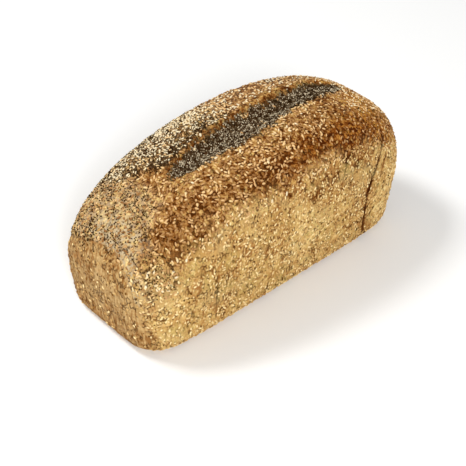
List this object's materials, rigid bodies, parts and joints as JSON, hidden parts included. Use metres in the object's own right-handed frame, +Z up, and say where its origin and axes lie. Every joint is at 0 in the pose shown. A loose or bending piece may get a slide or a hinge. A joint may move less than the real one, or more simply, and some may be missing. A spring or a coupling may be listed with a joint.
{
  "type": "seeded sandwich loaf",
  "caption": "Sliced tin loaf with a domed seeded crust, a poppy-filled split along the top and tan sides, its slices standing close together as a whole loaf.",
  "frame": {"origin": "middle of the flat base, at the height of the surface that the loaf stands on", "axes": "+X along the loaf towards the end with the open cut, +Y towards the raised lip of the split, +Z up"},
  "size_m": [0.279, 0.1219, 0.1321],
  "materials": {
    "crust": "baked crust, matt, golden tan on the sides and brown on the shoulders",
    "crumb": "open wholemeal crumb, matt",
    "sesame": "toasted seed, satin",
    "poppy": "dark blue-grey seed, matt",
    "bran": "dark brown fleck of bran or linseed, matt"
  },
  "bodies": {
    "root": {"heel_left": "crust", "slice_01": "crust", "slice_02": "crust", "slice_03": "crust", "slice_04": "crust", "slice_05": "crust", "slice_06": "crust", "slice_07": "crust", "slice_08": "crust", "slice_09": "crust", "slice_10": "crust", "slice_11": "crust", "slice_12": "crust", "slice_13": "crust", "slice_14": "crust", "slice_15": "crust", "slice_16": "crust", "slice_17": "crust", "slice_18": "crust", "slice_19": "crust", "heel_right": "crust"}
  },
  "joints": []
}
